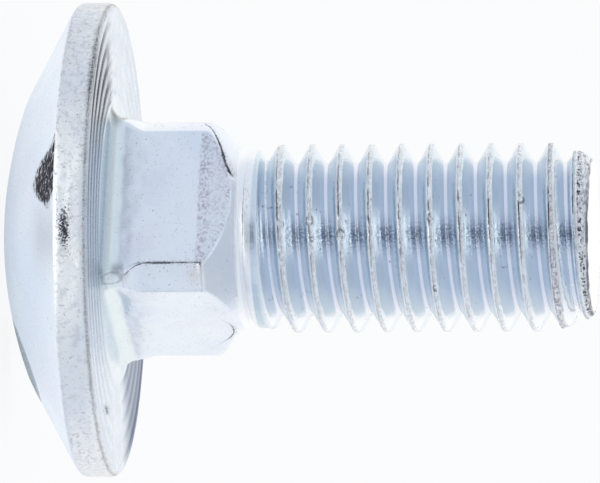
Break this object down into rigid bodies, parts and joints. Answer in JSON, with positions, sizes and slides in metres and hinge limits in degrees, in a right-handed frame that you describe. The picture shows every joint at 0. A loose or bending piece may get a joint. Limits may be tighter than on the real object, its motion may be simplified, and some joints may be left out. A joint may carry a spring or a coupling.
{
  "type": "carriage bolt",
  "caption": "Zinc-plated steel carriage bolt: low domed head, square neck that locks in its hole, and a fully threaded right-hand shank.",
  "frame": {"origin": "top of the domed head, on the bolt's axis, where it stands on its head", "axes": "+Z runs along the bolt's axis from the head towards the end of the thread; +X and +Y are square to the neck's flats"},
  "size_m": [0.0198, 0.0198, 0.0246],
  "materials": {
    "zinc_plated_steel": "bright zinc plate with a pale blue passivation, satin to glossy, scuffed grey on the thread's crests and on the rim"
  },
  "bodies": {
    "root": {"bolt": "zinc_plated_steel"}
  },
  "joints": []
}
